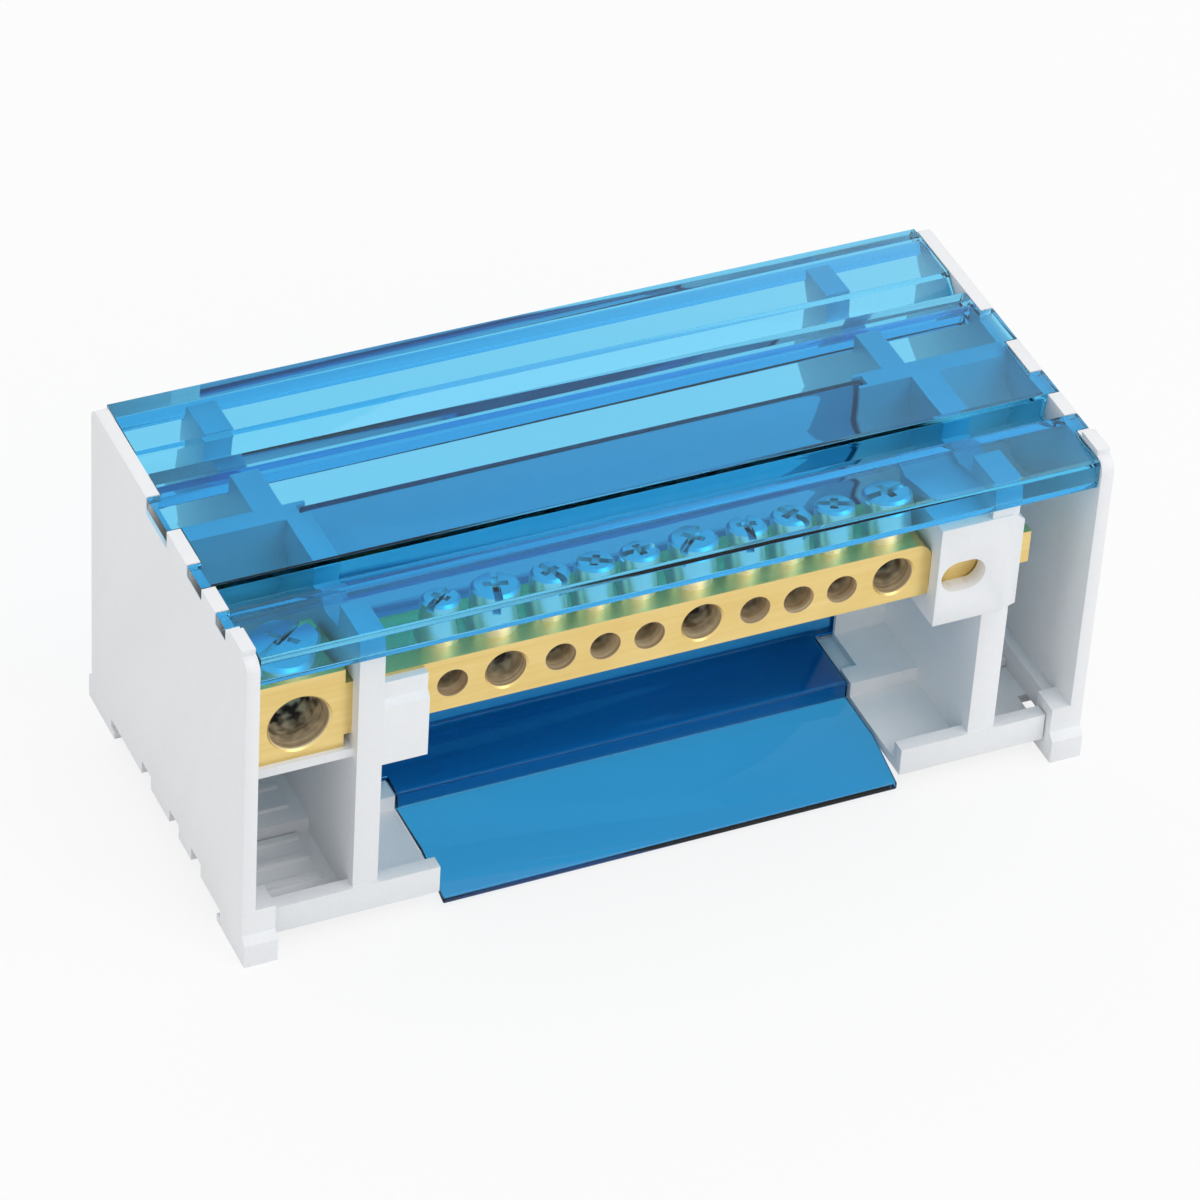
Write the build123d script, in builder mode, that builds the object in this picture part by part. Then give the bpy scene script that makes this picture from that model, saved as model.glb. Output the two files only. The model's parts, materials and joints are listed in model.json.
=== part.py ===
"""Single-pole power distribution block for a 35 mm rail, with a transparent blue cover.

Frame: X runs along the block, Y from the wire side to the back, Z up.
The origin is the middle of the block on the plane of its four feet.
Places in this file are given from the left end, from the front edge of the
cover and from the feet plane, and half_length and half_depth centre them.
"""
from build123d import *
from math import atan2, cos, tan
import os

os.makedirs("parts", exist_ok=True)

# Whole block
block_length = 105.0
block_depth = 48.0
block_height = 43.2

# End plates
plate_thickness = 1.6
plate_overhang = 0.3
plate_corner_radius = 1.6
plate_ear = (1.2, 5.0)
plate_ear_rise = 0.7
underside_notches = (14.0, 21.0, 30.0)
notch_width = 3.0
notch_height = 1.8
tenon_width = 5.0
tenon_height = 1.4
tenon_length = 2.4
tenon_bottom = 3.2
tenon_offset = 8.5
tenon_clearance = 0.1

# Rail clip: the flange of a 35 mm rail lies between the base and the hook of each foot
rail_width = 35.0
rail_side_clearance = 0.15
rail_seat = 2.2
hook_thickness = 1.0
hook_reach = 1.0
foot_width = 4.0
foot_top = 7.4
foot_back = 3.4
toe_reach = 0.9
toe_top = 4.0
foot_clearance = 0.2

# Base moulding
base_inset = 0.8
low_floor_top = 3.4
high_floor_top = 5.4
high_floor_start = 14.3
ledge_depth = 1.8
ledge_top = 5.9
main_wall_start = 13.8
main_wall_thickness = 3.0
tail_wall_from_right = 14.2
tail_wall_thickness = 3.4
wall_front = 1.2
wall_top_gap = 0.3
web_front = 23.2
web_back = 25.8
web_groove_depth = 1.2
left_web_end = 16.8
right_web_from_right = 20.8
skirt_rib_width = 1.4
skirt_rib_top = 6.7
skirt_rib_start = 4.0
floor_rib_count = 5
floor_rib_first = 6.7
floor_rib_pitch = 3.45
floor_rib_width = 0.8
floor_rib_height = 0.5
floor_rib_end = 12.2

# Cover
cover_thickness = 1.6
cover_end_gap = 0.1
lip_height = 3.7
groove_depth = 3.2
slope_start = 9.2
slope_end = 12.3
riser = 13.5
tab_ranges = ((6.2, 9.1), (13.5, 17.8), (24.2, 30.5))
tab_root = 1.2
tab_clearance = 0.1
deep_notch_extra = 0.8
cover_gap = 0.2

# Blue barrier: an upright wall behind the bar and a sheet over the floor in front of it
sheet_thickness = 1.0
barrier_wall_front = 24.0
sheet_left = 24.6
sheet_from_right = 23.2
sheet_wide_left = 17.0
sheet_wide_start = 17.5
sheet_high = 5.7
sheet_low = 3.5
sheet_bend = 7.0
sheet_front = 0.3
sheet_front_top = 1.5
sheet_gap = 0.3

# Brass bar: it hangs below the cover by the height of its screws and a gap
bar_front = 3.0
bar_depth = 8.4
bar_height = 7.3
bar_from_right = 20.6
bar_end_radius = 2.0
head_left = 2.4
head_width = 10.5
head_depth = 10.2
head_height = 11.0
tail_front = 3.1
tail_rise = 1.1
tail_drop = 1.8
tail_from_right = 7.8
bar_gap = 0.15
main_screw_gap = 0.4
bar_screw_gap = 2.2

# Wire bores, counted from the left: small, medium, then three small between mediums
main_bore_radius = 3.6
main_bore_drop = 0.7
medium_bore_radius = 2.4
small_bore_radius = 1.85
bore_chamfer = 0.25
first_medium = 32.2
medium_pitch = 23.8
small_pitch = 5.4
small_to_medium = 6.5
small_per_group = 3
last_bore_margin = 4.5

# Clamping screws
main_head_radius = 4.2
main_head_height = 1.7
main_shank_radius = 3.0
medium_head_radius = 2.8
medium_shank_radius = 1.9
small_head_radius = 2.25
small_shank_radius = 1.35
clamp_head_height = 5.0
thread_clearance = 0.3
head_chamfer = 0.35
slot_width = 0.9
slot_depth = 1.0
slot_turn = 37.0

# Bar supports on the base
shelf_thickness = 1.2
shelf_front = 2.4
shelf_back = 15.0
cradle_front = 1.3
cradle_lip_front = 2.0
cradle_right = 22.3
cradle_below = 4.3
cradle_step_drop = 3.4
cradle_slope = 0.7
cradle_top_drop = 0.4
cradle_back = 13.0
bracket_front = 1.0
bracket_from_right = 9.7
bracket_below = 3.4
bracket_above = 3.1
bracket_chamfer = 1.6
bracket_side_slope = (2.2, 0.7)
window_inset = 0.5
window_length = 5.6
window_height = 4.2
window_drop = 0.1

# Worked-out places
half_length = block_length / 2
half_depth = block_depth / 2
cover_underside = block_height - cover_thickness
groove_underside = cover_underside - groove_depth
lip_bottom = block_height - lip_height
inner_right = block_length - plate_thickness
tail_wall_start = block_length - tail_wall_from_right
right_web_start = block_length - right_web_from_right
sheet_right = block_length - sheet_from_right
rail_front = half_depth - rail_width / 2 - rail_side_clearance
bar_top = cover_underside - clamp_head_height - bar_screw_gap
bar_bottom = bar_top - bar_height
bar_back = bar_front + bar_depth
bar_end = block_length - bar_from_right
bore_level = bar_bottom + bar_height / 2
tail_bottom = bar_bottom + tail_rise
tail_top = bar_top - tail_drop
tail_end = block_length - tail_from_right
head_right = head_left + head_width
head_back = bar_front + head_depth
head_top = groove_underside - main_head_height - main_screw_gap
head_bottom = head_top - head_height
head_middle = head_left + head_width / 2
cradle_bottom = bar_bottom - cradle_below
cradle_step = bar_top - cradle_step_drop
cradle_top = bar_top - cradle_top_drop
bracket_right = block_length - bracket_from_right
bracket_bottom = bar_bottom - bracket_below
bracket_top = bar_top + bracket_above
window_middle = bar_end + window_inset + window_length / 2
window_level = (tail_bottom + tail_top) / 2 - window_drop
main_bore_level = head_bottom + head_height / 2 - main_bore_drop
main_wall_end = main_wall_start + main_wall_thickness
wall_top = cover_underside - wall_top_gap
sheet_floor = sheet_high - sheet_thickness - sheet_gap
barrier_wall_back = barrier_wall_front + sheet_thickness
foot_room = foot_width + foot_clearance
half_slot = tenon_width / 2 + tenon_clearance
group_count = int((bar_end - last_bore_margin - first_medium) / medium_pitch)
medium_spots = [first_medium + medium_pitch * step for step in range(group_count + 1)]
small_spots = [first_medium - small_to_medium]
for medium_spot in medium_spots[:group_count]:
    group_start = medium_spot + small_to_medium
    small_spots += [group_start + small_pitch * step for step in range(small_per_group)]
wide_bore_limit = (small_bore_radius + medium_bore_radius) / 2
half_turn = Location((0, 0, 0), (0, 0, 180))


def block(x_range, y_range, z_range, mode=Mode.ADD):
    """A rectangular block given by its ranges from the left end, front edge and feet."""
    ranges = (x_range, y_range, z_range)
    sizes = [limits[1] - limits[0] for limits in ranges]
    middles = [sum(limits) / 2 for limits in ranges]
    with Locations((middles[0] - half_length, middles[1] - half_depth, middles[2])):
        Box(*sizes, mode=mode)


def across(from_left):
    """The plane across the block at a distance from its left end."""
    return Plane.YZ.offset(from_left - half_length)


def section(*points):
    """Section points with their first value counted from the front edge."""
    return [(from_front - half_depth, level) for from_front, level in points]


def round_bore(from_left, level, radius, length):
    """A round hole from the front face of the bar towards the back."""
    mouth = Plane(
        origin=(from_left - half_length, bar_front - half_depth, level),
        x_dir=(1, 0, 0),
        z_dir=(0, 1, 0),
    )
    with BuildSketch(mouth) as hole:
        Circle(radius)
    extrude(hole.sketch, amount=length, mode=Mode.SUBTRACT)


def cover_outline():
    """Section of the cover: out over both grooves and back along the underside."""
    outer = [
        (0, lip_bottom),
        (0, block_height),
        (slope_start, block_height),
        (slope_end, block_height - groove_depth),
        (riser, block_height - groove_depth),
        (riser, block_height),
    ]
    slope_shift = cover_thickness * tan(atan2(groove_depth, slope_end - slope_start) / 2)
    inner = [
        (cover_thickness, lip_bottom),
        (cover_thickness, cover_underside),
        (slope_start - slope_shift, cover_underside),
        (slope_end - slope_shift, groove_underside),
        (riser + cover_thickness, groove_underside),
        (riser + cover_thickness, cover_underside),
    ]
    outer_back = [(block_depth - from_front, level) for from_front, level in reversed(outer)]
    inner_back = [(block_depth - from_front, level) for from_front, level in inner]
    return section(*outer, *outer_back, *inner_back, *reversed(inner))


def barrier_outline():
    """Section of the blue barrier: down its front and top, back along its underside."""
    drop_angle = atan2(sheet_low - sheet_front_top, sheet_bend - sheet_front)
    top = [
        (barrier_wall_front, cover_underside - sheet_gap),
        (barrier_wall_front, sheet_high),
        (high_floor_start, sheet_high),
        (high_floor_start, sheet_low),
        (sheet_bend, sheet_low),
        (sheet_front, sheet_front_top),
    ]
    underside = [
        (sheet_front, sheet_front_top - sheet_thickness / cos(drop_angle)),
        (sheet_bend + sheet_thickness * tan(drop_angle / 2), sheet_low - sheet_thickness),
        (high_floor_start + sheet_thickness, sheet_low - sheet_thickness),
        (high_floor_start + sheet_thickness, sheet_high - sheet_thickness),
        (barrier_wall_back, sheet_high - sheet_thickness),
        (barrier_wall_back, cover_underside - sheet_gap),
    ]
    return section(*top, *underside)


# Base moulding
with BuildPart() as base:
    # Floor, low on both wire sides and high in the middle, with a ledge at each edge
    floor_half = [
        (base_inset, rail_seat),
        (base_inset, ledge_top),
        (base_inset + ledge_depth, ledge_top),
        (base_inset + ledge_depth, low_floor_top),
        (high_floor_start, low_floor_top),
        (high_floor_start, high_floor_top),
    ]
    floor_back = [(block_depth - from_front, level) for from_front, level in reversed(floor_half)]
    with BuildSketch(across(plate_thickness)):
        with BuildLine():
            Polyline(*section(*floor_half, *floor_back), close=True)
        make_face()
    extrude(amount=inner_right - plate_thickness)
    # Upright walls and the rib by the end plate, the same on both sides after half a turn
    for turn in (Location((0, 0, 0)), half_turn):
        with Locations(turn):
            for wall_start, wall_thickness in (
                (main_wall_start, main_wall_thickness),
                (tail_wall_start, tail_wall_thickness),
            ):
                block(
                    (wall_start, wall_start + wall_thickness),
                    (wall_front, half_depth),
                    (rail_seat, wall_top),
                )
            block(
                (inner_right - skirt_rib_width, inner_right),
                (skirt_rib_start, web_front),
                (rail_seat, skirt_rib_top),
            )
    # Middle webs that hold the ends of the blue wall
    for web in ((plate_thickness, left_web_end), (right_web_start, inner_right)):
        block(web, (web_front, web_back), (rail_seat, wall_top))
    # Low ribs across the floor under the head of the bar
    for step in range(floor_rib_count):
        rib_middle = floor_rib_first + floor_rib_pitch * step
        rib_floor = low_floor_top if rib_middle < high_floor_start else high_floor_top
        block(
            (plate_thickness, floor_rib_end),
            (rib_middle - floor_rib_width / 2, rib_middle + floor_rib_width / 2),
            (rib_floor, rib_floor + floor_rib_height),
        )
    # Shelf under the head of the bar
    block(
        (plate_thickness, main_wall_start),
        (shelf_front, shelf_back),
        (head_bottom - shelf_thickness, head_bottom),
    )
    # Cradle beside the main wall: its front slopes back to a thinner lip before the bar
    with BuildSketch(across(main_wall_end)):
        with BuildLine():
            Polyline(
                *section(
                    (cradle_front, cradle_bottom),
                    (cradle_front, cradle_step),
                    (cradle_lip_front, cradle_step + cradle_slope),
                    (cradle_lip_front, cradle_top),
                    (bar_front, cradle_top),
                    (bar_front, bar_bottom),
                    (bar_back + bar_gap, bar_bottom),
                    (bar_back + bar_gap, cradle_step),
                    (cradle_back, cradle_step),
                    (cradle_back, cradle_bottom),
                ),
                close=True,
            )
        make_face()
    extrude(amount=cradle_right - main_wall_end)
    # Bracket around the tail of the bar, with a bevelled top corner over the tail wall
    with BuildSketch(Plane.XZ.offset(half_depth - bracket_front)):
        with BuildLine():
            Polyline(
                (bar_end - half_length, bracket_bottom),
                (bar_end - half_length, bracket_top),
                (bracket_right - bracket_chamfer - half_length, bracket_top),
                (bracket_right - half_length, bracket_top - bracket_chamfer),
                (bracket_right - half_length, bracket_bottom),
                close=True,
            )
        make_face()
    extrude(amount=bracket_front - cradle_back)
    # Its far side slopes back from the front face
    with BuildSketch(Plane.XY.offset(bracket_bottom)):
        with BuildLine():
            Polyline(
                (bracket_right - bracket_side_slope[0] - half_length, bracket_front - half_depth),
                (bracket_right - half_length, bracket_front - half_depth),
                (bracket_right - half_length, bracket_front + bracket_side_slope[1] - half_depth),
                close=True,
            )
        make_face()
    extrude(amount=bracket_top - bracket_bottom, mode=Mode.SUBTRACT)
    # Way of the bar through the main wall and of its tail through the bracket
    block(
        (main_wall_start, main_wall_end),
        (bar_front, bar_back + bar_gap),
        (bar_bottom, bar_top + bar_gap),
        Mode.SUBTRACT,
    )
    block(
        (bar_end, bracket_right),
        (tail_front - bar_gap, bar_back + bar_gap),
        (tail_bottom, tail_top + bar_gap),
        Mode.SUBTRACT,
    )
    # Long window in front of the tail
    with BuildSketch(Plane.XZ.offset(half_depth - bracket_front)):
        with Locations((window_middle - half_length, window_level)):
            SlotOverall(window_length, window_height)
    extrude(amount=bracket_front - tail_front, mode=Mode.SUBTRACT)
    # Room for the lips and grooves of the cover above the walls
    for turn in (Location((0, 0, 0)), half_turn):
        with Locations(turn):
            block(
                (0, block_length),
                (0, cover_thickness + cover_gap),
                (lip_bottom - cover_gap, block_height),
                Mode.SUBTRACT,
            )
            block(
                (0, block_length),
                (slope_start - cover_thickness - cover_gap, riser + cover_thickness + cover_gap),
                (groove_underside - cover_gap, block_height),
                Mode.SUBTRACT,
            )
    # Grooves in the webs for the blue wall
    block(
        (left_web_end - web_groove_depth, right_web_start + web_groove_depth),
        (barrier_wall_front - sheet_gap, barrier_wall_back + sheet_gap),
        (sheet_floor, block_height),
        Mode.SUBTRACT,
    )
    # Seat for the blue sheet: cut through in front, let into the high floor behind
    block(
        (sheet_left - sheet_gap, sheet_right + sheet_gap),
        (0, high_floor_start + sheet_thickness + sheet_gap),
        (0, ledge_top),
        Mode.SUBTRACT,
    )
    block(
        (sheet_left - sheet_gap, sheet_right + sheet_gap),
        (high_floor_start, barrier_wall_back + sheet_gap),
        (sheet_floor, high_floor_top),
        Mode.SUBTRACT,
    )
    block(
        (left_web_end, right_web_start),
        (sheet_wide_start - sheet_gap, barrier_wall_back + sheet_gap),
        (sheet_floor, high_floor_top),
        Mode.SUBTRACT,
    )
    # Room for the four feet and for the tenons of the end plates
    for turn in (Location((0, 0, 0)), half_turn):
        with Locations(turn):
            for end in ((0, foot_room), (block_length - foot_room, block_length)):
                block(
                    end,
                    (0, foot_back + foot_clearance),
                    (0, foot_top + foot_clearance),
                    Mode.SUBTRACT,
                )
                block(
                    end,
                    (0, rail_front + hook_reach + foot_clearance),
                    (0, low_floor_top),
                    Mode.SUBTRACT,
                )
            for side in (-tenon_offset, tenon_offset):
                tenon_middle = half_depth + side
                block(
                    (plate_thickness, plate_thickness + tenon_length + tenon_clearance),
                    (tenon_middle - half_slot, tenon_middle + half_slot),
                    (tenon_bottom - tenon_clearance, tenon_bottom + tenon_height + tenon_clearance),
                    Mode.SUBTRACT,
                )

base.part.label = "base"
export_step(base.part, "parts/base.step")


def make_end_plate(name, at_right_end):
    """One end plate with its feet, tenons and the notches that hold the cover."""
    with BuildPart() as plate:
        with BuildSketch(across(0)):
            with BuildLine():
                Polyline(
                    *section(
                        (-plate_overhang, rail_seat),
                        (-plate_overhang, block_height),
                        (block_depth + plate_overhang, block_height),
                        (block_depth + plate_overhang, rail_seat),
                    ),
                    close=True,
                )
            make_face()
            top_corners = vertices().group_by(Axis.Y)[-1]
            fillet(top_corners, plate_corner_radius)
        extrude(amount=plate_thickness)
        block((0, plate_thickness), plate_ear, (block_height, block_height + plate_ear_rise))
        for from_front in underside_notches:
            block(
                (0, plate_thickness),
                (from_front - notch_width / 2, from_front + notch_width / 2),
                (rail_seat, rail_seat + notch_height),
                Mode.SUBTRACT,
            )
        for tab_start, tab_end in tab_ranges:
            deeper = deep_notch_extra if tab_start > half_depth else 0
            block(
                (0, plate_thickness),
                (tab_start - tab_clearance, tab_end + tab_clearance),
                (cover_underside - deeper, block_height),
                Mode.SUBTRACT,
            )
        # Feet: a toe outside and a hook that reaches under the flange of the rail
        front_foot = [
            (-plate_overhang, foot_top),
            (-plate_overhang, toe_top),
            (-plate_overhang - toe_reach, toe_top - toe_reach),
            (-plate_overhang - toe_reach, 0),
            (rail_front + hook_reach, 0),
            (rail_front + hook_reach, hook_thickness),
            (rail_front, hook_thickness),
            (rail_front, rail_seat),
            (foot_back, rail_seat),
            (foot_back, foot_top),
        ]
        back_foot = [(block_depth - from_front, level) for from_front, level in front_foot]
        for foot in (front_foot, back_foot):
            with BuildSketch(across(0)):
                with BuildLine():
                    Polyline(*section(*foot), close=True)
                make_face()
            extrude(amount=foot_width)
        for side in (-tenon_offset, tenon_offset):
            tenon_middle = half_depth + side
            block(
                (plate_thickness, plate_thickness + tenon_length),
                (tenon_middle - tenon_width / 2, tenon_middle + tenon_width / 2),
                (tenon_bottom, tenon_bottom + tenon_height),
            )
        if at_right_end:
            mirror(about=Plane.YZ, mode=Mode.REPLACE)
    plate.part.label = name
    export_step(plate.part, f"parts/{name}.step")
    return plate.part


end_plate_left = make_end_plate("end_plate_left", False)
end_plate_right = make_end_plate("end_plate_right", True)

# Transparent cover
with BuildPart() as cover:
    with BuildSketch(across(plate_thickness + cover_end_gap)):
        with BuildLine():
            Polyline(*cover_outline(), close=True)
        make_face()
    extrude(amount=inner_right - plate_thickness - 2 * cover_end_gap)
    for end in (
        (0, plate_thickness + tab_root),
        (inner_right - tab_root, block_length),
    ):
        for tab_range in tab_ranges:
            block(end, tab_range, (cover_underside, block_height))

cover.part.label = "cover"
export_step(cover.part, "parts/cover.step")

# Blue barrier
with BuildPart() as barrier:
    with BuildSketch(across(sheet_left)):
        with BuildLine():
            Polyline(*barrier_outline(), close=True)
        make_face()
    extrude(amount=sheet_right - sheet_left)
    # The wall runs on into the grooves of both webs
    block(
        (left_web_end - web_groove_depth + sheet_gap, right_web_start + web_groove_depth - sheet_gap),
        (barrier_wall_front, barrier_wall_back),
        (sheet_high - sheet_thickness, cover_underside - sheet_gap),
    )
    # The sheet is wider at the left behind the notch
    block(
        (sheet_wide_left, sheet_right),
        (sheet_wide_start, barrier_wall_back),
        (sheet_high - sheet_thickness, sheet_high),
    )

barrier.part.label = "barrier"
export_step(barrier.part, "parts/barrier.step")

# Brass bar: a thick head for the feed wire, the row of bores and a thin tail
with BuildPart() as busbar:
    block((head_left, head_right), (bar_front, head_back), (head_bottom, head_top))
    block((head_right, bar_end), (bar_front, bar_back), (bar_bottom, bar_top))
    end_corner = busbar.edges().filter_by(Axis.Y).group_by(Axis.X)[-1].sort_by(Axis.Z)[-1]
    fillet(end_corner, bar_end_radius)
    block((bar_end, tail_end), (tail_front, bar_back), (tail_bottom, tail_top))
    round_bore(head_middle, main_bore_level, main_bore_radius, head_depth)
    for spot in medium_spots:
        round_bore(spot, bore_level, medium_bore_radius, bar_depth)
    for spot in small_spots:
        round_bore(spot, bore_level, small_bore_radius, bar_depth)
    # Bevel around the mouths of the main and the medium bores
    mouths = busbar.edges().filter_by(GeomType.CIRCLE).group_by(Axis.Y)[0].filter_by(Edge.is_closed)
    chamfer(mouths.filter_by(lambda mouth: mouth.radius > wide_bore_limit), bore_chamfer)
    # Threaded holes down into the bores
    for spots, shank_radius, top, middle, from_front in (
        ([head_middle], main_shank_radius, head_top, main_bore_level, (bar_front + head_back) / 2),
        (medium_spots, medium_shank_radius, bar_top, bore_level, (bar_front + bar_back) / 2),
        (small_spots, small_shank_radius, bar_top, bore_level, (bar_front + bar_back) / 2),
    ):
        with BuildSketch(Plane.XY.offset(top)):
            with Locations(*[(spot - half_length, from_front - half_depth) for spot in spots]):
                Circle(shank_radius + thread_clearance)
        extrude(amount=middle - top, mode=Mode.SUBTRACT)

busbar.part.label = "busbar"
export_step(busbar.part, "parts/busbar.step")


def make_screw(name, spot, from_front, seat, tip, sizes, turn):
    """A clamping screw that stands on the bar with its tip at the ceiling of the bore."""
    head_radius, head_height, shank_radius = sizes
    place = Plane(
        origin=(spot - half_length, from_front - half_depth, seat),
        x_dir=Vector(1, 0, 0).rotate(Axis.Z, turn),
        z_dir=(0, 0, 1),
    )
    with BuildPart() as screw:
        with BuildSketch(place):
            Circle(head_radius)
        extrude(amount=head_height)
        chamfer(screw.edges().group_by(Axis.Z)[-1], head_chamfer)
        with BuildSketch(place):
            Circle(shank_radius)
        extrude(amount=tip - seat)
        chamfer(screw.edges().group_by(Axis.Z)[0], head_chamfer)
        with BuildSketch(place.offset(head_height)):
            Rectangle(2 * head_radius, slot_width)
            Rectangle(slot_width, head_radius)
        extrude(amount=-slot_depth, mode=Mode.SUBTRACT)
    screw.part.label = name
    export_step(screw.part, f"parts/{name}.step")
    return screw.part


main_screw = make_screw(
    "screw_main",
    head_middle,
    (bar_front + head_back) / 2,
    head_top,
    main_bore_level + main_bore_radius,
    (main_head_radius, main_head_height, main_shank_radius),
    slot_turn,
)
medium_sizes = (medium_head_radius, clamp_head_height, medium_shank_radius)
small_sizes = (small_head_radius, clamp_head_height, small_shank_radius)
bar_screws = [(spot, "screw_medium", medium_sizes, medium_bore_radius) for spot in medium_spots]
bar_screws += [(spot, "screw_small", small_sizes, small_bore_radius) for spot in small_spots]
for number, (spot, kind, sizes, bore_radius) in enumerate(sorted(bar_screws), start=1):
    make_screw(
        f"{kind}_{number:02d}",
        spot,
        (bar_front + bar_back) / 2,
        bar_top,
        bore_level + bore_radius,
        sizes,
        slot_turn * number,
    )
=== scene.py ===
# %% [markdown]
# # A power distribution block in clear blue, light grey and brass
#
# The block clips on a 35 mm rail and shares one feed wire out to many smaller ones.
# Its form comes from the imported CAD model. This script gives each piece its finish,
# softens its moulded edges, makes the screws in detail and sets the camera and the light.

# %% Load the frame
import json
import math
import bmesh
import bpy
from mathutils import Matrix, Vector

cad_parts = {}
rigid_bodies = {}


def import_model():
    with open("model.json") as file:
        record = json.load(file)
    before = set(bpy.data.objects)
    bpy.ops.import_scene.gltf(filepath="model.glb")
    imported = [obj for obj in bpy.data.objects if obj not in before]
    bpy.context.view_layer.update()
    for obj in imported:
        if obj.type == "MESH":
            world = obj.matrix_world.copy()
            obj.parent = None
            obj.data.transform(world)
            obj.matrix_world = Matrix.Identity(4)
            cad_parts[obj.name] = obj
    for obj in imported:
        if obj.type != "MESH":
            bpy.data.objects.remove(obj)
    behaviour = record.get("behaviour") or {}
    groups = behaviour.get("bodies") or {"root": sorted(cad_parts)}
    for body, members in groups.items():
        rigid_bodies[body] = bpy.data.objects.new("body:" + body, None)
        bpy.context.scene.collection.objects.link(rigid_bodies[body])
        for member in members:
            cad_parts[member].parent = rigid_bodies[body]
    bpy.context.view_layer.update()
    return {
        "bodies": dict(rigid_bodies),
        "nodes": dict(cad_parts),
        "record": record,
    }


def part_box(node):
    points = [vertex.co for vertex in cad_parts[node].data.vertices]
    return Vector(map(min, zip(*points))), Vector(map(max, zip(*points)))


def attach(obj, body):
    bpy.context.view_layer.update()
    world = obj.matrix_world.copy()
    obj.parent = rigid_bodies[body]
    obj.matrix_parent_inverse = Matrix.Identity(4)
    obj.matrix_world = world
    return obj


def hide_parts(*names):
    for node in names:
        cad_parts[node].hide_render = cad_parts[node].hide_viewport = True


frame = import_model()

nodes = frame["nodes"]
body_name = list(frame["bodies"])[0]
print("pieces in the frame:", len(nodes))

# %% [markdown]
# The camera stands to the left of the front and looks down on the block through a long
# lens, so parallel edges stay nearly parallel. It also leans a little, which lifts the
# right end of the block in the picture. A matrix of three turns says this plainly:
# the heading, the look down, and the lean about the line of sight.

# %% Camera
CAMERA_AIM = Vector((0.00016, -0.00146, 0.020))
CAMERA_DISTANCE = 0.680
CAMERA_AZIMUTH = math.radians(-26.2)
CAMERA_ELEVATION = math.radians(39.03)
CAMERA_LEAN = math.radians(3.88)
CAMERA_LENS = 177.3

camera_data = bpy.data.cameras.new("block_camera")
camera_data.lens = CAMERA_LENS
camera = bpy.data.objects.new("block_camera", camera_data)
bpy.context.scene.collection.objects.link(camera)

towards_camera = Vector((
    math.sin(CAMERA_AZIMUTH) * math.cos(CAMERA_ELEVATION),
    -math.cos(CAMERA_AZIMUTH) * math.cos(CAMERA_ELEVATION),
    math.sin(CAMERA_ELEVATION),
))
heading = Matrix.Rotation(CAMERA_AZIMUTH, 4, "Z")
look_down = Matrix.Rotation(math.radians(90) - CAMERA_ELEVATION, 4, "X")
lean = Matrix.Rotation(CAMERA_LEAN, 4, "Z")
camera_place = Matrix.Translation(CAMERA_AIM + CAMERA_DISTANCE * towards_camera)
camera.matrix_world = camera_place @ heading @ look_down @ lean
bpy.context.scene.camera = camera
print("camera at", [round(value, 4) for value in camera.matrix_world.translation])

# %% [markdown]
# Shader maths reads best as plain expressions. A small class wraps a socket and gives it
# the operators for sums and comparisons, so that a mask reads `1 - (noise < 0.3)`.

# %% Arithmetic on sockets
class Wire:
    """A shader value that takes part in plain arithmetic."""

    def __init__(self, finish, socket):
        self.finish = finish
        self.socket = socket

    def maths(self, operation, first, second):
        node = self.finish.node("Math", {"operation": operation}, {0: first, 1: second})
        return Wire(self.finish, node.outputs[0])

    def __add__(self, other):
        return self.maths("ADD", self, other)

    def __radd__(self, other):
        return self.maths("ADD", other, self)

    def __sub__(self, other):
        return self.maths("SUBTRACT", self, other)

    def __rsub__(self, other):
        return self.maths("SUBTRACT", other, self)

    def __mul__(self, other):
        return self.maths("MULTIPLY", self, other)

    def __rmul__(self, other):
        return self.maths("MULTIPLY", other, self)

    def __gt__(self, other):
        return self.maths("GREATER_THAN", self, other)

    def __lt__(self, other):
        return self.maths("LESS_THAN", self, other)


print("shader values have operators:", ", ".join("+-*<>"))

# %% [markdown]
# A second class holds the nodes of one material, or of the room around the block. One
# method adds any node with its settings and inputs, and a few short ones build on it:
# places, noise, a blend of two colours, a bump and the shader at the output.

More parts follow.
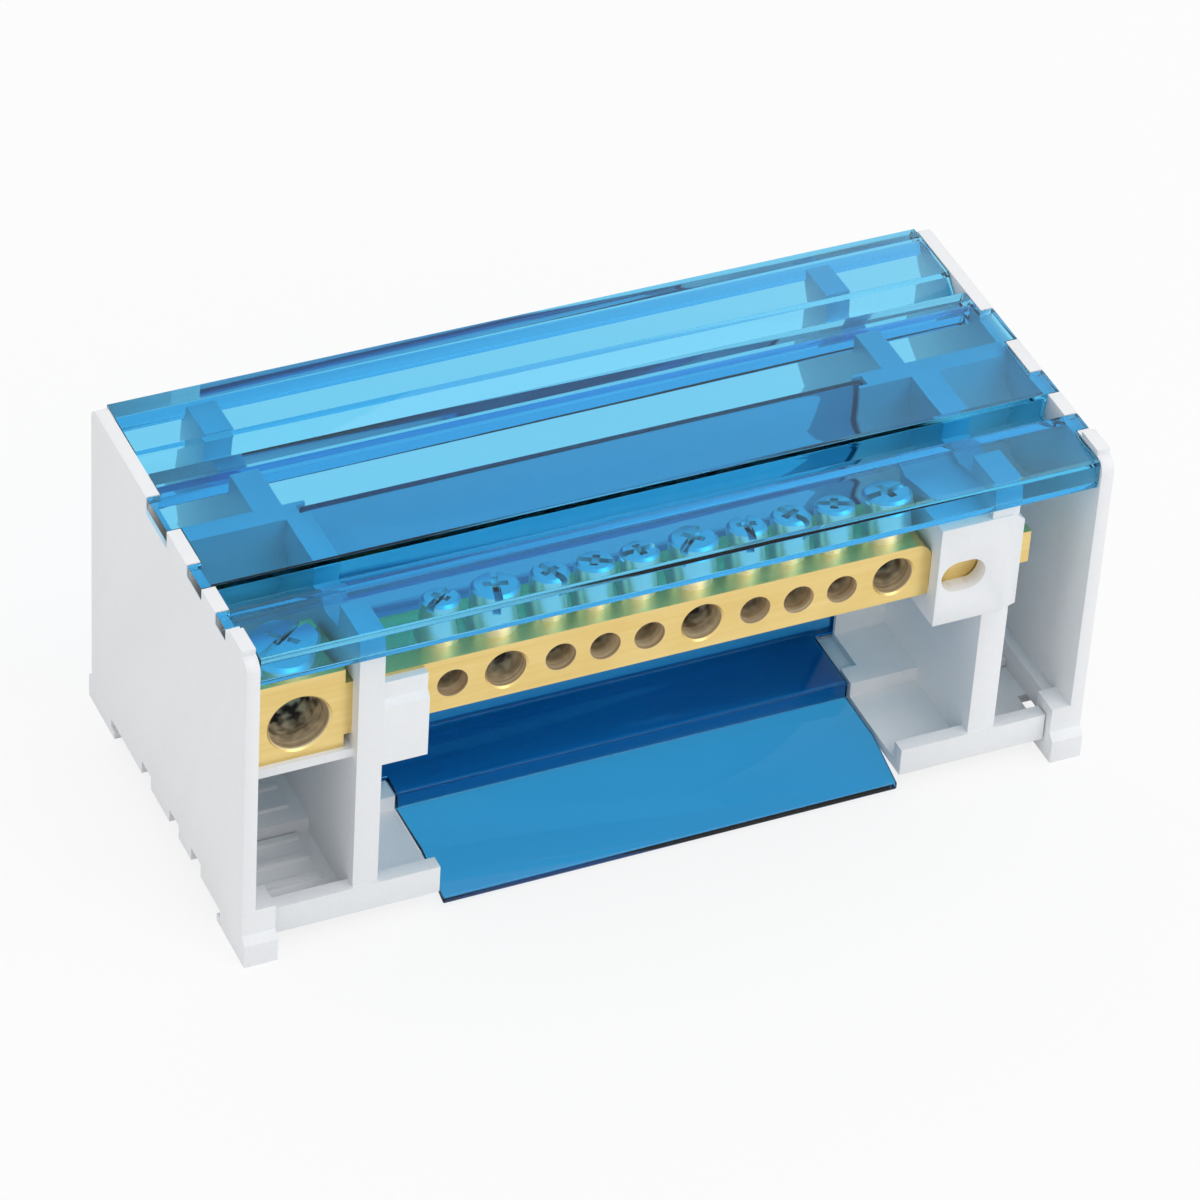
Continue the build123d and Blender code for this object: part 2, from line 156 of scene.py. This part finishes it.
# %% Nodes of a finish
class Finish:
    """The nodes of one material, or of the room."""

    def __init__(self, owner):
        self.owner = owner
        owner.use_nodes = True
        self.tree = owner.node_tree
        self.tree.nodes.clear()

    def feed(self, socket, value):
        if isinstance(value, Wire):
            self.tree.links.new(value.socket, socket)
        else:
            socket.default_value = value

    def node(self, kind, settings=None, sockets=None):
        new = self.tree.nodes.new("ShaderNode" + kind)
        for name, value in (settings or {}).items():
            setattr(new, name, value)
        for name, value in (sockets or {}).items():
            self.feed(new.inputs[name], value)
        return new

    def wire(self, node, name):
        return Wire(self, node.outputs[name])

    def place(self):
        """Object coordinates, in metres."""
        return self.wire(self.node("TexCoord"), "Object")

    def scaled_place(self, stretch):
        """Object coordinates with each axis multiplied by its own number."""
        sockets = {0: self.place(), 1: stretch}
        return self.wire(self.node("VectorMath", {"operation": "MULTIPLY"}, sockets), "Vector")

    def noise(self, scale, detail=2.0, stretch=(1.0, 1.0, 1.0)):
        """Noise with scale spots in a metre, drawn out along an axis by a small stretch."""
        sockets = {"Vector": self.scaled_place(stretch), "Scale": scale, "Detail": detail}
        return self.wire(self.node("TexNoise", {}, sockets), "Fac")

    def ramp(self, value, start, end):
        """0 up to start, 1 from end on, and even in between."""
        sockets = {"Value": value, "From Min": start, "From Max": end}
        return self.wire(self.node("MapRange", {}, sockets), "Result")

    def blend(self, factor, first, second):
        """Colour that goes from first to second as factor goes from 0 to 1."""
        mix = self.node("Mix", {"data_type": "RGBA"}, {0: factor, 6: first, 7: second})
        return Wire(self, mix.outputs[2])

    def bump(self, height, distance, strength):
        sockets = {"Height": height, "Distance": distance, "Strength": strength}
        return self.wire(self.node("Bump", {}, sockets), "Normal")

    def surface(self, sockets):
        """The Principled shader, joined to the material's output."""
        shader = self.node("BsdfPrincipled", {}, sockets)
        self.output = self.node("OutputMaterial", {}, {"Surface": self.wire(shader, "BSDF")})
        return shader

    def mixed(self, factor, first, second):
        """Two shaders mixed by a factor, in place of the one at the output."""
        sockets = {0: factor, 1: Wire(self, first.outputs[0]), 2: Wire(self, second.outputs[0])}
        mix = self.node("MixShader", {}, sockets)
        self.feed(self.output.inputs["Surface"], self.wire(mix, "Shader"))


def new_finish(name):
    return Finish(bpy.data.materials.new(name))


finishes = {}

# %% [markdown]
# The block stands in a bright even room. Clear plastic shows whatever is behind it, so
# the rays that look straight, mirror or come through the plastic all see the same full
# white, while the light that the room gives off is a little weaker.

# %% Room
ROOM_WHITE = (1.0, 1.0, 1.0, 1.0)
ROOM_LIGHT = 0.9

world = bpy.data.worlds.new("pale_room")
bpy.context.scene.world = world
room = Finish(world)
rays = room.node("LightPath")
looks = room.wire(rays, "Is Camera Ray") + room.wire(rays, "Is Transmission Ray")
looks = looks + room.wire(rays, "Is Glossy Ray")
background = room.node("Background", {}, {
    "Color": ROOM_WHITE,
    "Strength": ROOM_LIGHT + (1.0 - ROOM_LIGHT) * (looks > 0.5),
})
room.node("OutputWorld", {}, {"Surface": room.wire(background, "Background")})
print("room light", ROOM_LIGHT)

# %% [markdown]
# The floor mixes a plain white glow with a real pale surface. The glow makes it as white
# as the room, and the part that is real light keeps the block's soft shadow. Rays that
# come through the plastic see more of the real surface than the camera does.

# %% Floor
FLOOR_SIZE = 4.0
FLOOR_GREY = (0.86, 0.86, 0.86, 1.0)
FLOOR_ROUGHNESS = 0.9
FLOOR_SHADOW = 0.2
FLOOR_SHADOW_THROUGH = 0.3

floor_finish = new_finish("pale_floor")
rays = floor_finish.node("LightPath")
straight = floor_finish.wire(rays, "Is Camera Ray")
through = floor_finish.wire(rays, "Is Transmission Ray")
mirrored = floor_finish.wire(rays, "Is Glossy Ray") * (1.0 - through)
lit = floor_finish.surface({"Base Color": FLOOR_GREY, "Roughness": FLOOR_ROUGHNESS})
white = floor_finish.node("Emission", {}, {"Color": ROOM_WHITE, "Strength": 1.0})
glow = (1.0 - FLOOR_SHADOW) * (straight + mirrored) + (1.0 - FLOOR_SHADOW_THROUGH) * through
floor_finish.mixed(glow, lit, white)

reach = FLOOR_SIZE / 2
floor_corners = [(-reach, -reach, 0), (reach, -reach, 0), (reach, reach, 0), (-reach, reach, 0)]
floor_mesh = bpy.data.meshes.new("floor")
floor_mesh.from_pydata(floor_corners, [], [(0, 1, 2, 3)])
floor_mesh.materials.append(floor_finish.owner)
floor = bpy.data.objects.new("floor", floor_mesh)
bpy.context.scene.collection.objects.link(floor)
print("floor", FLOOR_SIZE, "m wide")

# %% [markdown]
# One large soft lamp hangs above the front right, so the left end plate and the walls
# inside the block are a shade darker than the faces that turn to it.

# %% Lamp
LAMP_POWER = 4.2
LAMP_SIZE = 0.9
LAMP_PLACE = Vector((0.55, -0.75, 1.1))

lamp_data = bpy.data.lights.new("soft_lamp", "AREA")
lamp_data.energy = LAMP_POWER
lamp_data.size = LAMP_SIZE
lamp = bpy.data.objects.new("soft_lamp", lamp_data)
bpy.context.scene.collection.objects.link(lamp)
lamp.location = LAMP_PLACE
lamp.rotation_euler = (-LAMP_PLACE).to_track_quat("-Z", "Y").to_euler()
bpy.context.scene.view_settings.view_transform = "Standard"
print("lamp power", LAMP_POWER)

# %% [markdown]
# The base and the end plates are moulded in a light grey plastic with a faint blue cast.
# It has a fine satin grain from the mould and slightly uneven colour. Three noises do
# this: a wide one and a fine one shift the colour, and a very fine one makes a bump.

# %% Grey moulding
GREY_DEEP = (0.76, 0.78, 0.80, 1.0)
GREY_PALE = (0.86, 0.87, 0.89, 1.0)
GRAIN_HEIGHT = 0.00006


def grey_moulding():
    finish = new_finish("grey_moulding")
    drift = finish.noise(35.0)
    speckle = finish.noise(900.0, 4.0)
    grain = finish.noise(2600.0, 3.0)
    finish.surface({
        "Base Color": finish.blend(0.55 * drift + 0.45 * speckle, GREY_DEEP, GREY_PALE),
        "Roughness": 0.42 + 0.12 * speckle,
        "Normal": finish.bump(grain, GRAIN_HEIGHT, 0.5),
    })
    return finish.owner


finishes["grey_moulding"] = grey_moulding()
print("grey moulding:", len(finishes["grey_moulding"].node_tree.nodes), "nodes")

# %% [markdown]
# The cover and the barrier are clear plastic, dyed blue. Real dyed plastic gets deeper
# where light goes further through it, which is why its edges and steps are dark lines.
# A thin Volume Absorption does the same, and the Base Color tints each wall that a ray
# passes. The tint does most of the work: with dye alone, a look along the wall, through
# a whole block's length of plastic, would come out black. The plastic also bends light
# less than the real one does, for the same reason. Lamp light can't find its way through
# a bent ray, so for shadow rays alone the wall is a plain pale pane. The tint goes from
# one colour at the floor to another higher up. The deeper colour of the sheet over the
# floor is painted shade: it stands in for the blue shadow that the sheet throws under it.

# %% Clear blue plastic
BLUE_DYE = (0.0, 0.72, 0.87, 1.0)
PALE_PANE = (0.62, 0.88, 0.98, 1.0)
COVER_TINT = (0.19, 0.66, 0.93, 1.0)
# At the floor the sheet's tint is deeper: painted shade for the blue shadow under it.
SHEET_TINT_PAINTED_SHADE = (0.045, 0.36, 0.68, 1.0)
WALL_TINT = (0.16, 0.49, 0.71, 1.0)
DYE_DENSITY = 80.0
PLASTIC_IOR = 1.34
RIPPLE_HEIGHT = 0.0001
SHEET_LEVEL = 0.006
WALL_LEVEL = 0.011


def clear_blue(name, low_tint_painted_shade, tint, roughness):
    finish = new_finish(name)
    height = finish.wire(finish.node("SeparateXYZ", {}, {"Vector": finish.place()}), "Z")
    # This ramp from the floor upwards is the mask of that painted shade.
    above_painted_shade = finish.ramp(height, SHEET_LEVEL, WALL_LEVEL)
    clear = finish.surface({
        "Base Color": finish.blend(above_painted_shade, low_tint_painted_shade, tint),
        "Transmission Weight": 1.0,
        "IOR": PLASTIC_IOR,
        "Roughness": roughness,
        "Normal": finish.bump(finish.noise(160.0, 1.0), RIPPLE_HEIGHT, 0.12),
    })
    pane = finish.node("BsdfTransparent", {}, {"Color": PALE_PANE})
    shadow_ray = finish.wire(finish.node("LightPath"), "Is Shadow Ray")
    finish.mixed(shadow_ray, clear, pane)
    dye = finish.node("VolumeAbsorption", {}, {"Color": BLUE_DYE, "Density": DYE_DENSITY})
    finish.feed(finish.output.inputs["Volume"], finish.wire(dye, "Volume"))
    return finish.owner


finishes["cover_plastic"] = clear_blue("cover_plastic", COVER_TINT, COVER_TINT, 0.03)
finishes["barrier_plastic"] = clear_blue("barrier_plastic", SHEET_TINT_PAINTED_SHADE, WALL_TINT, 0.05)
print("dye density", DYE_DENSITY, "and index of refraction", PLASTIC_IOR)

# %% [markdown]
# The bar is extruded brass, sawn and drilled. The drilled bores need a finish of their
# own on the same mesh. The record says where each bore is and how wide, so the distance
# from its axis tells the wall of a bore from the rest of the bar. All bores run along Y,
# so only X and Z count in that distance.

# %% Where the bores are
BORE_MARGIN = 0.00004
WITHOUT_DEPTH = (1.0, 0.0, 1.0)

bore_mounts = [mount for mount in frame["record"]["mounts"] if mount["kind"] == "clamp"]


def bore_walls(finish):
    """1 on the walls of the bores, 0 elsewhere."""
    flat_place = finish.scaled_place(WITHOUT_DEPTH)
    walls = 0.0
    for mount in bore_mounts:
        x, _, z = mount["pos_m"]
        sockets = {0: flat_place, 1: (x, 0.0, z)}
        from_axis = finish.node("VectorMath", {"operation": "DISTANCE"}, sockets)
        radius = mount["dims"]["r_mm"] / 1000 + BORE_MARGIN
        walls = walls + (finish.wire(from_axis, "Value") < radius)
    return walls


print("bores:", len(bore_mounts))

# %% [markdown]
# The faces of the bar keep fine draw lines along it, so that noise is drawn out along X.
# The bores are duller and browner, with rings from the drill, and scatter the light that
# comes in at their mouths. Deeper down their colour turns dark: that is painted shade for
# the depth of the bore, with painted glints on it. On the real block the glints come from
# the tips of the screws. Here the tips end at the ceiling of the bore, where the camera
# can't see them, so a spotty noise in the colour paints the glints.

# %% Brass
BRASS_DEEP = (0.72, 0.49, 0.13, 1.0)
BRASS_PALE = (0.97, 0.78, 0.37, 1.0)
MOUTH_DEEP = (0.48, 0.27, 0.12, 1.0)
MOUTH_PALE = (1.0, 0.86, 0.58, 1.0)
# Painted shade deep in a bore, and the painted glints in it.
BORE_PAINTED_SHADE = (0.05, 0.022, 0.01, 1.0)
BORE_PAINTED_GLINT = (0.9, 0.74, 0.5, 1.0)
# From the first of these depths to the second, the painted shade comes in.
MOUTH_FROM = -0.0206
PAINTED_SHADE_FROM = -0.0160
ALONG_BAR = (0.03, 1.0, 1.0)
ROUND_BORE = (0.02, 1.0, 0.02)
LINE_HEIGHT = 0.00008


def drawn_brass():
    finish = new_finish("drawn_brass")
    lines = finish.noise(1500.0, 3.0, ALONG_BAR)
    blotch = finish.noise(140.0, 3.0)
    rings = finish.noise(2400.0, 2.0, ROUND_BORE)
    drilled = bore_walls(finish)
    depth = finish.wire(finish.node("SeparateXYZ", {}, {"Vector": finish.place()}), "Y")
    face = finish.blend(0.5 * lines + 0.5 * blotch, BRASS_DEEP, BRASS_PALE)
    mouth = finish.blend(2.0 * rings - 0.5, MOUTH_DEEP, MOUTH_PALE)
    # Painted shade for the depth of the bores, spotted with painted glints.
    painted_shade_and_glint = finish.blend(4.0 * finish.noise(700.0, 1.0) - 1.6, BORE_PAINTED_SHADE, BORE_PAINTED_GLINT)
    # The bore's colour darkens from the mouth inwards into that painted shade.
    bore_with_painted_shade = finish.blend(finish.ramp(depth, MOUTH_FROM, PAINTED_SHADE_FROM), mouth, painted_shade_and_glint)
    relief = lines + drilled * (2.0 * rings - lines)
    finish.surface({
        "Base Color": finish.blend(drilled, face, bore_with_painted_shade),
        "Metallic": 1.0 - 0.55 * drilled,
        "Roughness": 0.24 + 0.2 * blotch + 0.2 * drilled,
        "Normal": finish.bump(relief, LINE_HEIGHT, 0.5),
    })
    return finish.owner


finishes["bar_brass"] = drawn_brass()
print("brass:", len(finishes["bar_brass"].node_tree.nodes), "nodes")

# %% [markdown]
# The screws are zinc-plated steel: bright, slightly green and not quite even. One cloudy
# noise moves both the colour and the roughness. The plate isn't a full mirror, so the
# heads stay light under the blue cover.

# %% Zinc plate
ZINC_DEEP = (0.84, 0.87, 0.86, 1.0)
ZINC_PALE = (1.0, 1.0, 0.98, 1.0)
ZINC_MIRROR = 0.88


def zinc_plate():
    finish = new_finish("zinc_plate")
    cloud = finish.noise(500.0, 3.0)
    finish.surface({
        "Base Color": finish.blend(cloud, ZINC_DEEP, ZINC_PALE),
        "Metallic": ZINC_MIRROR,
        "Roughness": 0.22 + 0.2 * cloud,
    })
    return finish.owner


finishes["screw_steel"] = zinc_plate()
print("zinc plate:", len(finishes["screw_steel"].node_tree.nodes), "nodes")

# %% [markdown]
# The record names the material slot of each piece, so a loop over its rows puts the
# finishes on the CAD nodes. The bar is shown as it comes from the CAD model. The moulded
# pieces are shown by copies, which take their finish from these nodes.

# %% Give the pieces their finish
for row in frame["record"]["subparts"]:
    for slot in nodes[row["node"]].material_slots:
        slot.material = finishes[row["material_slot"]]
print("finishes:", ", ".join(finishes))

# %% [markdown]
# Moulded edges are never quite sharp: each one is a small round that catches the light,
# and on clear plastic it draws a fine line. The CAD mesh has sharp edges and must not be
# changed, so a copy is cleaned and bevelled, and stands for the node. Cleaning joins the
# loose triangles and dissolves the flat ones into whole faces, so that only true edges
# are bevelled. The clear pieces are also drawn in by a hair, because a ray can't tell
# two faces apart that lie on each other.

# %% A cleaned copy of a node's mesh
SAME_CORNER = 1e-6
FLAT_ANGLE = math.radians(1)


def cleaned(node_name, draw_in):
    shape = bmesh.new()
    shape.from_mesh(nodes[node_name].data)
    bmesh.ops.remove_doubles(shape, verts=shape.verts, dist=SAME_CORNER)
    bmesh.ops.dissolve_limit(
        shape, angle_limit=FLAT_ANGLE, verts=shape.verts, edges=shape.edges
    )
    shape.normal_update()
    for corner in shape.verts:
        corner.co -= corner.normal * draw_in
    mesh = bpy.data.meshes.new(node_name + "_softened")
    shape.to_mesh(mesh)
    shape.free()
    mesh.shade_smooth()
    mesh.materials.append(nodes[node_name].material_slots[0].material)
    return mesh


print("corners closer than", SAME_CORNER, "m become one")

# %% [markdown]
# A Bevel modifier rounds the edges of the copy, and hardened normals keep the flat faces
# flat in the light. The grey pieces have a finer edge than the clear ones, whose edges
# show more.

# %% Pieces with softened edges
GREY_EDGE = 0.00016
CLEAR_EDGE = 0.00022
CLEAR_DRAW_IN = 0.00005
EDGE_ANGLE = math.radians(40)


def softened(node_name, edge_width, draw_in=0.0):
    piece = bpy.data.objects.new(node_name + "_softened", cleaned(node_name, draw_in))
    bpy.context.scene.collection.objects.link(piece)
    bevel = piece.modifiers.new("soft_edge", "BEVEL")
    bevel.width = edge_width
    bevel.segments = 2
    bevel.limit_method = "ANGLE"
    bevel.angle_limit = EDGE_ANGLE
    bevel.harden_normals = True
    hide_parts(node_name)
    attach(piece, body_name)
    print(piece.name, len(piece.data.polygons), "faces before the bevel")


for node_name in ("base", "end_plate_left", "end_plate_right"):
    softened(node_name, GREY_EDGE)
for node_name in ("cover", "barrier"):
    softened(node_name, CLEAR_EDGE, CLEAR_DRAW_IN)

# %% [markdown]
# Eleven clamping screws stand on the bar: one large, three medium and seven small. They
# share one form, a round head with a long and a short slot on a threaded shank, so one
# Geometry Nodes tree makes it from a few sizes. A small class adds the nodes of that
# tree and gives the sums on sizes short names.

# %% Helper for the geometry tree
class Maker:
    """A geometry tree with named inputs."""

    def __init__(self, name, sizes):
        self.tree = bpy.data.node_groups.new(name, "GeometryNodeTree")
        self.tree.is_modifier = True
        face = self.tree.interface
        face.new_socket("Spots", in_out="INPUT", socket_type="NodeSocketGeometry")
        for size in sizes:
            face.new_socket(size, in_out="INPUT", socket_type="NodeSocketFloat")
        face.new_socket("Finish", in_out="INPUT", socket_type="NodeSocketMaterial")
        face.new_socket("Screws", in_out="OUTPUT", socket_type="NodeSocketGeometry")
        self.given = self.add("NodeGroupInput").outputs

    def add(self, kind, settings=None, sockets=None):
        node = self.tree.nodes.new(kind)
        for name, value in (settings or {}).items():
            setattr(node, name, value)
        for name, value in (sockets or {}).items():
            if isinstance(value, bpy.types.NodeSocket):
                self.tree.links.new(value, node.inputs[name])
            else:
                node.inputs[name].default_value = value
        return node

    def maths(self, operation, first, second):
        node = self.add("ShaderNodeMath", {"operation": operation}, {0: first, 1: second})
        return node.outputs[0]

    def point(self, x, y, z):
        return self.add("ShaderNodeCombineXYZ", {}, {"X": x, "Y": y, "Z": z}).outputs[0]

    def raised(self, geometry, height):
        """The geometry moved up by a height."""
        sockets = {"Geometry": geometry, "Translation": self.point(0.0, 0.0, height)}
        return self.add("GeometryNodeTransform", {}, sockets).outputs[0]


SCREW_SIZES = (
    "Head Radius", "Head Height", "Shank Radius", "Shank Length",
    "Slot Width", "Slot Depth", "Edge",
)
screw_maker = Maker("clamping_screw", SCREW_SIZES)
print("sizes of a screw:", len(SCREW_SIZES))

# %% [markdown]
# The shank is a cylinder with its top on the bar, and the head grows out of that top
# face: it is widened with no rise, raised to where its edge starts, then raised and
# narrowed once more. Growing keeps the screw one closed surface, which the cut for the
# slots needs.

# %% Shank and head
SCREW_SIDES = 40


def shank_and_head(maker):
    given = maker.given
    head, height, edge = given["Head Radius"], given["Head Height"], given["Edge"]
    shank, length = given["Shank Radius"], given["Shank Length"]
    rod = maker.add("GeometryNodeMeshCylinder", {}, {
        "Vertices": SCREW_SIDES, "Radius": shank, "Depth": length,
    })
    mesh = maker.raised(rod.outputs["Mesh"], maker.maths("MULTIPLY", length, -0.5))
    top = rod.outputs["Top"]
    for rise, widening in (
        (0.0, maker.maths("DIVIDE", head, shank)),
        (maker.maths("SUBTRACT", height, edge), 1.0),
        (edge, maker.maths("DIVIDE", maker.maths("SUBTRACT", head, edge), head)),
    ):
        grown = maker.add("GeometryNodeExtrudeMesh", {"mode": "FACES"}, {
            "Mesh": mesh, "Selection": top, "Offset Scale": rise, "Individual": False,
        })
        top = grown.outputs["Top"]
        mesh = maker.add("GeometryNodeScaleElements", {"domain": "FACE"}, {
            "Geometry": grown.outputs["Mesh"], "Selection": top, "Scale": widening,
        }).outputs[0]
    return mesh


plain_screw = shank_and_head(screw_maker)
print("sides of a screw:", SCREW_SIDES)

# %% [markdown]
# Two boxes cut the slots, one after the other: a long one right across the head and a
# short one square to it. Each box is twice as deep as its slot and is centred on the top
# of the head, so half of it stands clear.

# %% Slots
LONG_SLOT_REACH = 2.2


def with_slots(maker, mesh):
    given = maker.given
    head, slot = given["Head Radius"], given["Slot Width"]
    twice_deep = maker.maths("MULTIPLY", given["Slot Depth"], 2.0)
    long_slot = maker.maths("MULTIPLY", head, LONG_SLOT_REACH)
    for across, along in ((long_slot, slot), (slot, head)):
        size = maker.point(across, along, twice_deep)
        box = maker.add("GeometryNodeMeshCube", {}, {"Size": size})
        cutter = maker.raised(box.outputs["Mesh"], given["Head Height"])
        mesh = maker.add("GeometryNodeMeshBoolean", {"operation": "DIFFERENCE"}, {
            "Mesh 1": mesh, "Mesh 2": cutter,
        }).outputs[0]
    return mesh


slotted_screw = with_slots(screw_maker, plain_screw)
print("nodes so far:", len(screw_maker.tree.nodes))

# %% [markdown]
# The thread is a thin wire on a spiral around the shank. It stays inside the gap between
# the shank and its hole, and inside the shank's length at both ends.

# %% Thread
THREAD_PITCH = 0.0008
THREAD_RISE = 0.00014
THREAD_SPAN = 0.8
THREAD_START = -0.9


def thread(maker):
    shank, length = maker.given["Shank Radius"], maker.given["Shank Length"]
    spiral = maker.add("GeometryNodeCurveSpiral", {}, {
        "Resolution": 20,
        "Rotations": maker.maths("DIVIDE", length, THREAD_PITCH),
        "Start Radius": shank,
        "End Radius": shank,
        "Height": maker.maths("MULTIPLY", length, THREAD_SPAN),
    })
    wire = maker.add("GeometryNodeCurvePrimitiveCircle", {}, {
        "Resolution": 4, "Radius": THREAD_RISE,
    })
    swept = maker.add("GeometryNodeCurveToMesh", {}, {
        "Curve": spiral.outputs[0], "Profile Curve": wire.outputs["Curve"], "Fill Caps": True,
    })
    return maker.raised(swept.outputs[0], maker.maths("MULTIPLY", length, THREAD_START))


screw_thread = thread(screw_maker)
print("thread pitch", THREAD_PITCH * 1000, "mm")

# %% [markdown]
# A screw is set on each point and turned by the point's own turn, so the slots don't all
# stand alike. The export drops instances, so the tree ends by making them real and
# giving them their finish.

# %% A screw on each spot
def on_spots(maker, *parts):
    whole = maker.add("GeometryNodeJoinGeometry")
    for part in parts:
        maker.tree.links.new(part, whole.inputs[0])
    turn = maker.add("GeometryNodeInputNamedAttribute", {"data_type": "FLOAT"}, {"Name": "turn"})
    placed = maker.add("GeometryNodeInstanceOnPoints", {}, {
        "Points": maker.given["Spots"],
        "Instance": whole.outputs[0],
        "Rotation": maker.point(0.0, 0.0, turn.outputs["Attribute"]),
    })
    real = maker.add("GeometryNodeRealizeInstances", {}, {"Geometry": placed.outputs[0]})
    coated = maker.add("GeometryNodeSetMaterial", {}, {
        "Geometry": real.outputs[0], "Material": maker.given["Finish"],
    })
    maker.add("NodeGroupOutput", {}, {"Screws": coated.outputs[0]})


on_spots(screw_maker, screw_thread, slotted_screw)
print("nodes in the screw tree:", len(screw_maker.tree.nodes))

# %% [markdown]
# The tree works on a mesh of points. Each point lies where a screw's head meets the bar,
# and its turn grows with the number in the node's name. Places are measured on the CAD
# nodes, and only the head's height is hidden inside their boxes.

# %% Points for the screws
SLOT_TURN = math.radians(37)


def screw_spots(piece_name, node_names, head_height):
    """An object with a point for each screw."""
    boxes = [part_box(name) for name in node_names]
    seat = boxes[0][1].z - head_height
    spots = [((low.x + high.x) / 2, (low.y + high.y) / 2, seat) for low, high in boxes]
    numbers = [int(name[-2:]) if name[-2:].isdigit() else 1 for name in node_names]
    mesh = bpy.data.meshes.new(piece_name + "_spots")
    mesh.from_pydata(spots, [], [])
    turns = mesh.attributes.new("turn", "FLOAT", "POINT")
    turns.data.foreach_set("value", [SLOT_TURN * number for number in numbers])
    carrier = bpy.data.objects.new(piece_name + "_spots", mesh)
    bpy.context.scene.collection.objects.link(carrier)
    return carrier


print("turn from one screw to the next:", round(math.degrees(SLOT_TURN)), "degrees")

# %% [markdown]
# The tree runs on the points with one set of sizes. What it makes is turned into a plain
# mesh, which stands for the CAD nodes of those screws. Smooth shading rounds the head,
# and every sharp edge on it stays sharp.

# %% Run the tree
SHARP_ANGLE = math.radians(35)


def made_screws(carrier, sizes):
    """The mesh that the tree makes from the carrier's points."""
    maker = carrier.modifiers.new("screws", "NODES")
    maker.node_group = screw_maker.tree
    for socket in screw_maker.tree.interface.items_tree:
        if socket.in_out == "INPUT" and socket.name in sizes:
            maker[socket.identifier] = sizes[socket.name]
    carrier.update_tag()
    graph = bpy.context.evaluated_depsgraph_get()
    mesh = bpy.data.meshes.new_from_object(carrier.evaluated_get(graph))
    mesh.shade_smooth()
    mesh.set_sharp_from_angle(angle=SHARP_ANGLE)
    bpy.data.objects.remove(carrier)
    return mesh


print("edges stay sharp from", round(math.degrees(SHARP_ANGLE)), "degrees")

# %% [markdown]
# The screws come in three sizes. The slots are the same on all of them, because one
# driver turns them all. The small and the medium ones have tall heads, which stand up
# to just under the cover, and the feed screw has a low wide one. The head's radius and
# the shank's length are measured on the CAD nodes. The other sizes are hidden inside
# their boxes, so they are named here.

# %% Screws of three sizes
SLOT_WIDTH = 0.0009
SLOT_DEPTH = 0.001
HEAD_EDGE = 0.00035
FEED_HEAD = 0.0017
TALL_HEAD = 0.005
FEED_SHANK_RADIUS = 0.003
MEDIUM_SHANK_RADIUS = 0.0019
SMALL_SHANK_RADIUS = 0.00135


def clamping_screws(piece_name, node_names, head_height, shank_radius):
    low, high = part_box(node_names[0])
    carrier = screw_spots(piece_name, node_names, head_height)
    mesh = made_screws(carrier, {
        "Head Radius": (high.x - low.x) / 2,
        "Head Height": head_height,
        "Shank Radius": shank_radius,
        "Shank Length": high.z - head_height - low.z,
        "Slot Width": SLOT_WIDTH,
        "Slot Depth": SLOT_DEPTH,
        "Edge": HEAD_EDGE,
        "Finish": finishes["screw_steel"],
    })
    piece = bpy.data.objects.new(piece_name, mesh)
    bpy.context.scene.collection.objects.link(piece)
    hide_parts(*node_names)
    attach(piece, body_name)
    print(piece_name, len(node_names), "screws,", len(mesh.polygons), "faces")


for piece_name, node_start, head_height, shank_radius in (
    ("feed_screw", "screw_main", FEED_HEAD, FEED_SHANK_RADIUS),
    ("medium_screws", "screw_medium", TALL_HEAD, MEDIUM_SHANK_RADIUS),
    ("small_screws", "screw_small", TALL_HEAD, SMALL_SHANK_RADIUS),
):
    node_names = sorted(name for name in nodes if name.startswith(node_start))
    clamping_screws(piece_name, node_names, head_height, shank_radius)
